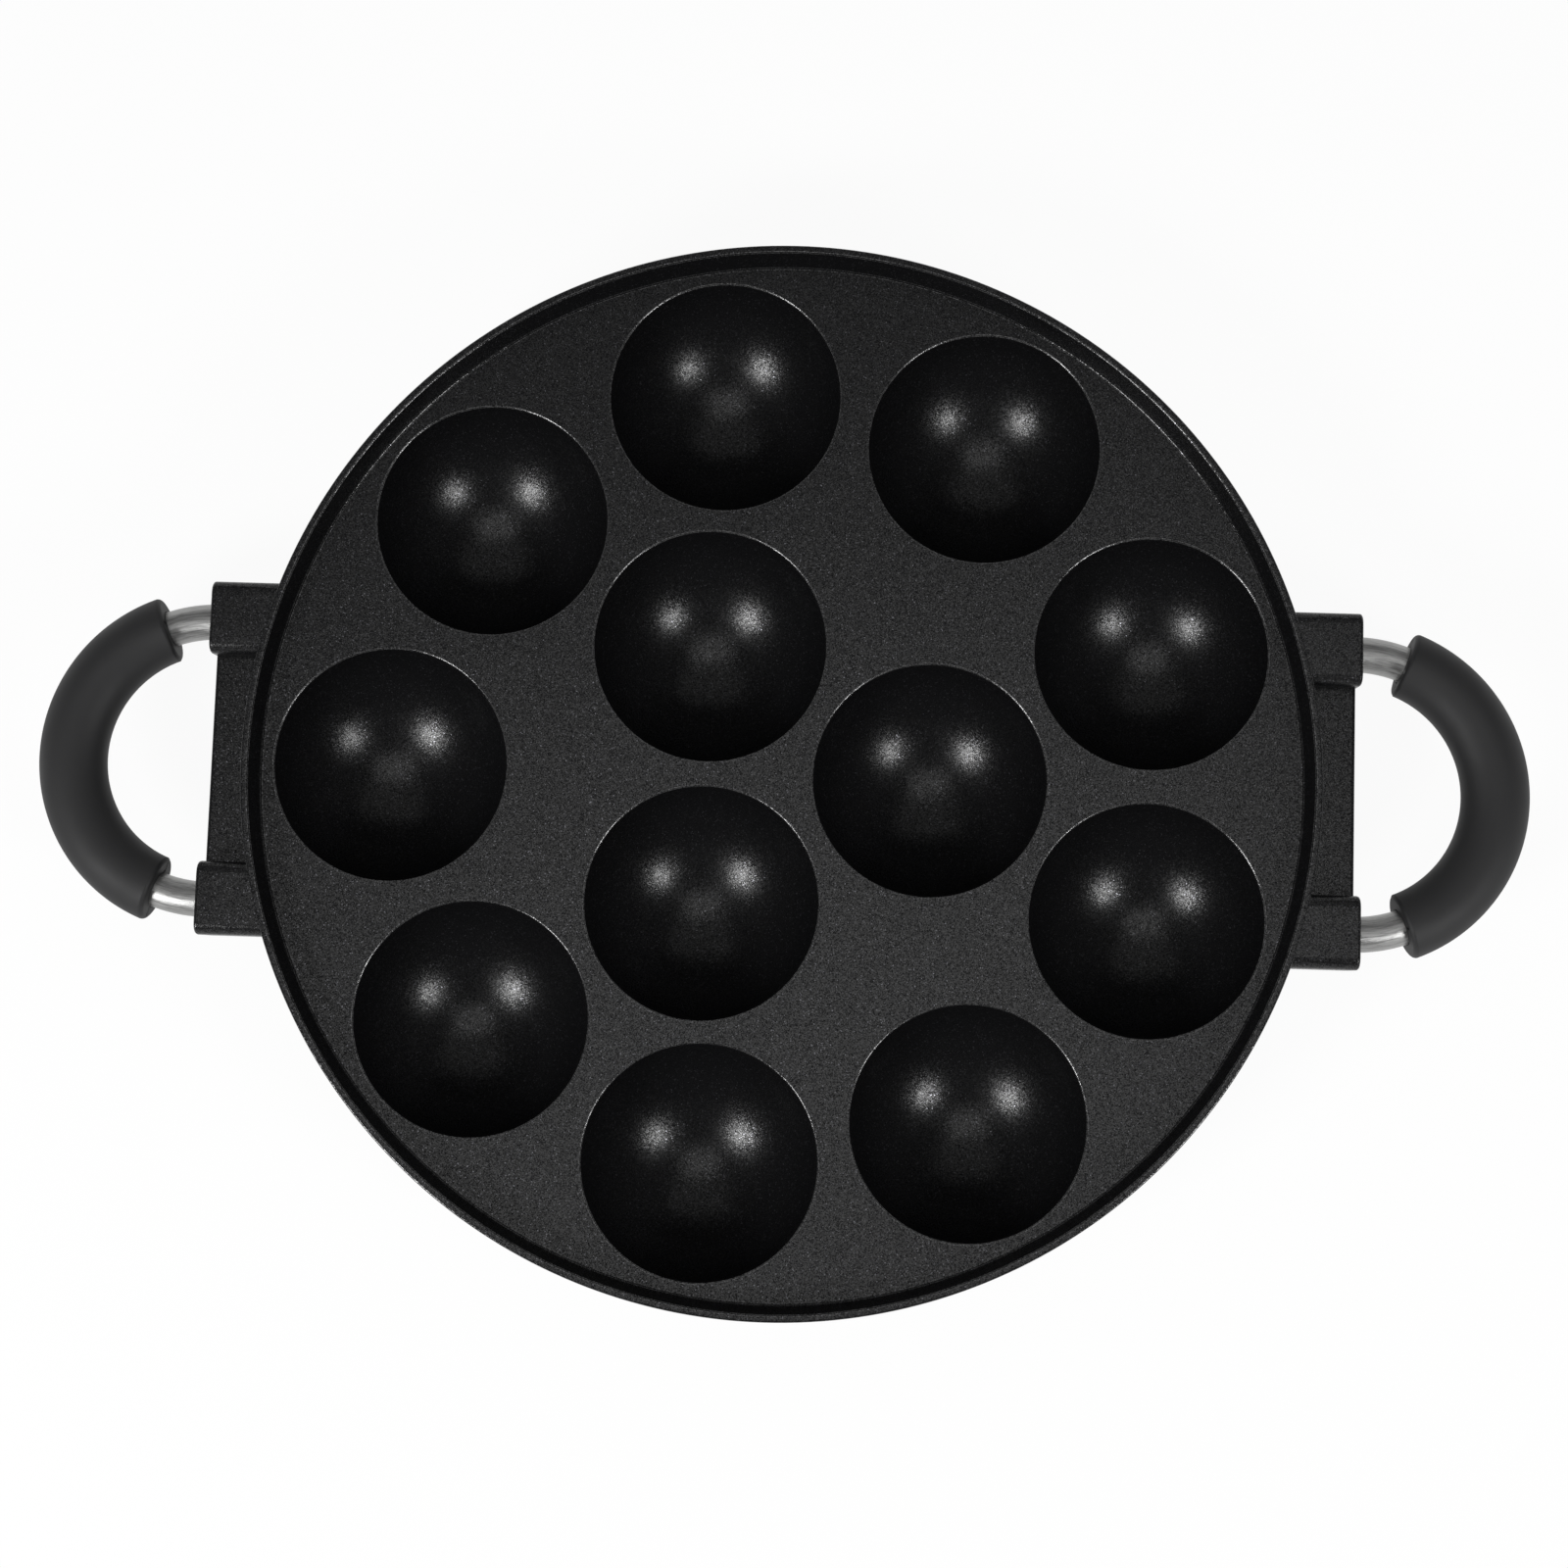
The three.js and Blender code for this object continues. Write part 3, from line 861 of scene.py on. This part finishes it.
class TAKOYAKI_OT_rods(bpy.types.Operator):
    """Model the two bent steel rods of the handles"""

    bl_idname = "takoyaki.rods"
    bl_label = "Handle rods"
    bl_options = {"REGISTER", "UNDO"}

    def execute(self, context):
        handle = context.scene.takoyaki_handle
        material = drawn_stainless_steel(context.scene.takoyaki_finish)
        leg = handle.bend_x - handle.rod_tip
        bpy.ops.mesh.primitive_circle_add(
            vertices=ROD_SIDES,
            radius=handle.rod_radius,
            location=(handle.rod_tip, -handle.leg_y, handle.rod_height),
            rotation=(0, math.pi / 2, 0),
        )
        rod = place_in_mesh()
        with editing(rod):
            bpy.ops.mesh.select_all(action="SELECT")
            bpy.ops.mesh.extrude_region_move(TRANSFORM_OT_translate={"value": (leg, 0, 0)})
            bpy.ops.mesh.spin(
                steps=BEND_STEPS,
                angle=math.pi,
                center=(handle.bend_x, 0, handle.rod_height),
                axis=(0, 0, -1),
            )
            bpy.ops.mesh.extrude_region_move(TRANSFORM_OT_translate={"value": (-leg, 0, 0)})
            for side in (-1, 1):
                pick("EDGE", lambda e: all(v.co.x < handle.rod_tip + SNAP and v.co.y * side > 0 for v in e.verts))
                bpy.ops.mesh.edge_face_add()
                pick("EDGE", lambda e: all(v.co.x < handle.rod_tip + SNAP and v.co.y * side > 0 for v in e.verts))
                bevel(handle.rod_chamfer, 1)
            bpy.ops.mesh.select_all(action="SELECT")
            bpy.ops.mesh.remove_doubles(threshold=SNAP / 4)
            bpy.ops.mesh.normals_make_consistent(inside=False)
        smooth(rod)
        straighten(rod, handle)
        for side, turn in SIDES:
            piece = copy_at(rod, (0, 0, 0), turn)
            hand_over(piece, f"steel_rod_{side}", [material], f"handle_rod_{side}")
        bpy.data.objects.remove(rod)
        return {"FINISHED"}


class TAKOYAKI_OT_grips(bpy.types.Operator):
    """Model the two silicone grips on the bends of the rods"""

    bl_idname = "takoyaki.grips"
    bl_label = "Silicone grips"
    bl_options = {"REGISTER", "UNDO"}

    def execute(self, context):
        handle = context.scene.takoyaki_handle
        material = moulded_silicone(context.scene.takoyaki_finish)
        bare = handle.bare_rod + handle.lug_face - handle.bend_x
        half = math.pi / 2 - bare / handle.leg_y
        centre = Vector((handle.bend_x, 0, handle.rod_height))
        start = centre + handle.leg_y * Vector((math.cos(half), -math.sin(half), 0))
        facing = (-math.pi / 2, 0, -half)
        bore = handle.rod_radius + handle.fit_gap
        bpy.ops.mesh.primitive_circle_add(
            vertices=GRIP_SIDES, radius=handle.grip_radius, location=start, rotation=facing
        )
        grip = place_in_mesh()
        with editing(grip):
            bpy.ops.mesh.primitive_circle_add(
                vertices=GRIP_SIDES, radius=bore, location=start, rotation=facing
            )
            bpy.ops.mesh.select_all(action="SELECT")
            bpy.ops.mesh.spin(steps=BEND_STEPS, angle=2 * half, center=centre, axis=(0, 0, -1))

            def at_end(edge, side):
                angles = (math.atan2(v.co.y, v.co.x - handle.bend_x) for v in edge.verts)
                return all(abs(angle - side * half) < SNAP / handle.leg_y for angle in angles)

            def outside(edge):
                middle = (edge.verts[0].co + edge.verts[1].co) / 2 - centre
                off = math.hypot(math.hypot(middle.x, middle.y) - handle.leg_y, middle.z)
                return off > (bore + handle.grip_radius) / 2

            for side in (-1, 1):
                pick("EDGE", lambda e: at_end(e, side))
                bpy.ops.mesh.bridge_edge_loops()
            bpy.ops.mesh.select_all(action="SELECT")
            bpy.ops.mesh.normals_make_consistent(inside=False)
            pick("EDGE", lambda e: len({at_end(e, -1), at_end(e, 1)}) == 2 and outside(e) and e.calc_length() < 0.001)
            bevel(handle.grip_rounding, 5)
        smooth(grip)
        for side, turn in SIDES:
            piece = copy_at(grip, (0, 0, 0), turn)
            hand_over(piece, f"silicone_grip_{side}", [material], f"handle_grip_{side}")
        bpy.data.objects.remove(grip)
        return {"FINISHED"}


class TAKOYAKI_OT_screws(bpy.types.Operator):
    """Model the four set screws that hold the rods in the lugs"""

    bl_idname = "takoyaki.screws"
    bl_label = "Set screws"
    bl_options = {"REGISTER", "UNDO"}

    def execute(self, context):
        sizes = context.scene.takoyaki_casting
        handle = context.scene.takoyaki_handle
        material = black_oxide_steel(context.scene.takoyaki_finish)
        lug_bottom = sizes.rim_height - handle.lug_drop - handle.lug_height
        low = lug_bottom + handle.screw_recess
        high = handle.rod_height - handle.rod_radius - handle.fit_gap
        screw = cylinder(handle.screw_radius, (0, 0, low), (0, 0, high), SCREW_SIDES)
        with editing(screw):
            for height in (low, high):
                pick_ring(handle.screw_radius, height)
                bevel(handle.screw_radius / 8, 2)
        key_radius = handle.key_width / math.sqrt(3)
        key = cylinder(key_radius, (0, 0, low - OVERRUN), (0, 0, low + handle.key_depth), 6)
        combine(screw, [key], "DIFFERENCE")
        smooth(screw)
        for side, turn in SIDES:
            for index, y in ((1, -handle.leg_y), (2, handle.leg_y)):
                piece = copy_at(screw, (handle.screw_x, y, 0), turn)
                name = f"set_screw_{side}_{index}"
                hand_over(piece, f"socket_{name}", [material], name)
        bpy.data.objects.remove(screw)
        return {"FINISHED"}


def floor_material(finish, studio):
    """Matte paper floor: white where the camera or a mirror sees it, with the object's shadow."""
    material, tree, shader = new_material("matte_studio_paper", Roughness=0.9, IOR=1.3)
    place = add_node(tree, "ShaderNodeTexCoord").outputs["Object"]
    # Paper tone wanders by one part in a hundred over a hand's breadth
    cloud = add_node(tree, "ShaderNodeTexNoise", inputs={"Vector": place, "Scale": 1 / 0.1})
    value = add_node(
        tree,
        "ShaderNodeMapRange",
        inputs={"Value": cloud.outputs["Fac"], "To Min": 0.99, "To Max": 1.01},
    )
    tone = add_node(
        tree,
        "ShaderNodeHueSaturation",
        inputs={"Color": finish.floor, "Value": value.outputs["Result"]},
    )
    tree.links.new(tone.outputs["Color"], shader.inputs["Base Color"])
    glow = add_node(tree, "ShaderNodeEmission", inputs={"Strength": 1.0})
    amount = add_node(
        tree,
        "ShaderNodeMath",
        {"operation": "MULTIPLY"},
        {0: white_seen(tree), 1: studio.floor_glow},
    )
    mixed = add_node(
        tree,
        "ShaderNodeMixShader",
        inputs={0: amount.outputs["Value"], 1: shader.outputs["BSDF"], 2: glow.outputs["Emission"]},
    )
    output = next(node for node in tree.nodes if node.type == "OUTPUT_MATERIAL")
    tree.links.new(mixed.outputs["Shader"], output.inputs["Surface"])
    return material


def white_seen(tree):
    """1 for rays from the camera, a mirror or glass, and 0 for the light on the object."""
    path = add_node(tree, "ShaderNodeLightPath")
    camera_or_mirror = add_node(
        tree,
        "ShaderNodeMath",
        {"operation": "MAXIMUM"},
        {0: path.outputs["Is Camera Ray"], 1: path.outputs["Is Glossy Ray"]},
    )
    return add_node(
        tree,
        "ShaderNodeMath",
        {"operation": "MAXIMUM"},
        {0: camera_or_mirror.outputs["Value"], 1: path.outputs["Is Transmission Ray"]},
    ).outputs["Value"]


# The backdrop stands on the floor, well outside the lamps
FLOOR_SIZE = 12.0
BACKDROP_RADIUS = 5.5
BACKDROP_HEIGHT = 2.0
BACKDROP_SIDES = 96


def studio_world(studio):
    """Dim, even surroundings above the backdrop. The white comes from floor and backdrop."""
    world = bpy.data.worlds.new("studio_surroundings")
    world.use_nodes = True
    tree = world.node_tree
    tree.nodes.clear()
    sky = add_node(tree, "ShaderNodeBackground", inputs={"Strength": studio.ambient})
    sky.inputs["Color"].default_value = (1, 1, 1, 1)
    add_node(tree, "ShaderNodeOutputWorld", inputs={"Surface": sky.outputs["Background"]})
    return world


def soft_lamp(name, place, aim, width, depth, power):
    """A rectangular area lamp at a place that faces a point."""
    place, aim = Vector(place), Vector(aim)
    turn = (aim - place).to_track_quat("-Z", "Y").to_euler()
    bpy.ops.object.light_add(type="AREA", location=place, rotation=turn)
    lamp = bpy.context.object
    lamp.name = name
    lamp.data.energy = power
    lamp.data.shape = "RECTANGLE"
    lamp.data.size = width
    lamp.data.size_y = depth


class TAKOYAKI_OT_stage(bpy.types.Operator):
    """Set up the floor, the lamps, the surroundings and the camera"""

    bl_idname = "takoyaki.stage"
    bl_label = "Studio"
    bl_options = {"REGISTER", "UNDO"}

    def execute(self, context):
        studio = context.scene.takoyaki_studio
        bpy.ops.mesh.primitive_plane_add(size=FLOOR_SIZE)
        floor = place_in_mesh()
        floor.name = "studio_floor"
        paper = floor_material(context.scene.takoyaki_finish, studio)
        floor.data.materials.append(paper)
        # A round wall of the same paper, as high as a camera at floor level can see
        bpy.ops.mesh.primitive_cylinder_add(
            vertices=BACKDROP_SIDES,
            radius=BACKDROP_RADIUS,
            depth=BACKDROP_HEIGHT,
            end_fill_type="NOTHING",
            location=(0, 0, BACKDROP_HEIGHT / 2),
        )
        backdrop = context.object
        backdrop.name = "studio_backdrop"
        backdrop.data.materials.append(paper)
        pan_middle = (0, 0, 0.028)
        soft_lamp("soft_box_right", (0.535, -0.398, 0.523), pan_middle, 0.18, 0.18, studio.right_power)
        soft_lamp("soft_box_left", (-0.562, -0.470, 0.609), pan_middle, 0.24, 0.24, studio.left_power)
        soft_lamp("panel_overhead", (0.01, -0.055, 1.6), pan_middle, 1.05, 0.72, studio.top_power)
        soft_lamp("panel_behind", (0.0, 1.0, 1.52), pan_middle, 2.0, 1.15, studio.back_power)
        context.scene.world = studio_world(studio)
        bpy.ops.object.camera_add(
            location=(0.013443, -0.064793, 0.618437),
            rotation=[math.radians(angle) for angle in (6.124, 1.023, 1.826)],
        )
        camera = context.object
        camera.name = "studio_camera"
        camera.data.lens = studio.lens
        camera.data.sensor_width = 36.0
        camera.data.clip_start = 0.01
        camera.data.clip_end = 50.0
        context.scene.camera = camera
        context.scene.view_settings.view_transform = "Standard"
        return {"FINISHED"}


OPERATORS = (
    TAKOYAKI_OT_casting,
    TAKOYAKI_OT_rods,
    TAKOYAKI_OT_grips,
    TAKOYAKI_OT_screws,
    TAKOYAKI_OT_stage,
)

SETTINGS = {
    "takoyaki_casting": CastingSizes,
    "takoyaki_handle": HandleSizes,
    "takoyaki_finish": FinishColours,
    "takoyaki_studio": StudioSettings,
}


class TAKOYAKI_PT_panel(bpy.types.Panel):
    """Lists the settings of the pan and the operators that model it."""

    bl_idname = "TAKOYAKI_PT_panel"
    bl_label = "Takoyaki Pan"
    bl_space_type = "VIEW_3D"
    bl_region_type = "UI"
    bl_category = "Takoyaki Pan"

    def draw(self, context):
        for operator in OPERATORS:
            self.layout.operator(operator.bl_idname)
        for name in SETTINGS:
            group = getattr(context.scene, name)
            box = self.layout.box()
            for key in group.__annotations__:
                box.prop(group, key)


def register():
    """Registers the classes and hangs the settings on the scene."""
    for name, settings in SETTINGS.items():
        bpy.utils.register_class(settings)
        setattr(bpy.types.Scene, name, bpy.props.PointerProperty(type=settings))
    for entry in (*OPERATORS, TAKOYAKI_PT_panel):
        bpy.utils.register_class(entry)


def unregister():
    """Takes back what register did."""
    for entry in (TAKOYAKI_PT_panel, *reversed(OPERATORS)):
        bpy.utils.unregister_class(entry)
    for name, settings in reversed(SETTINGS.items()):
        delattr(bpy.types.Scene, name)
        bpy.utils.unregister_class(settings)


def main():
    """Models every piece in order."""
    register()
    bpy.ops.takoyaki.casting()
    bpy.ops.takoyaki.rods()
    bpy.ops.takoyaki.grips()
    bpy.ops.takoyaki.screws()
    bpy.ops.takoyaki.stage()


if __name__ == "__main__":
    main()
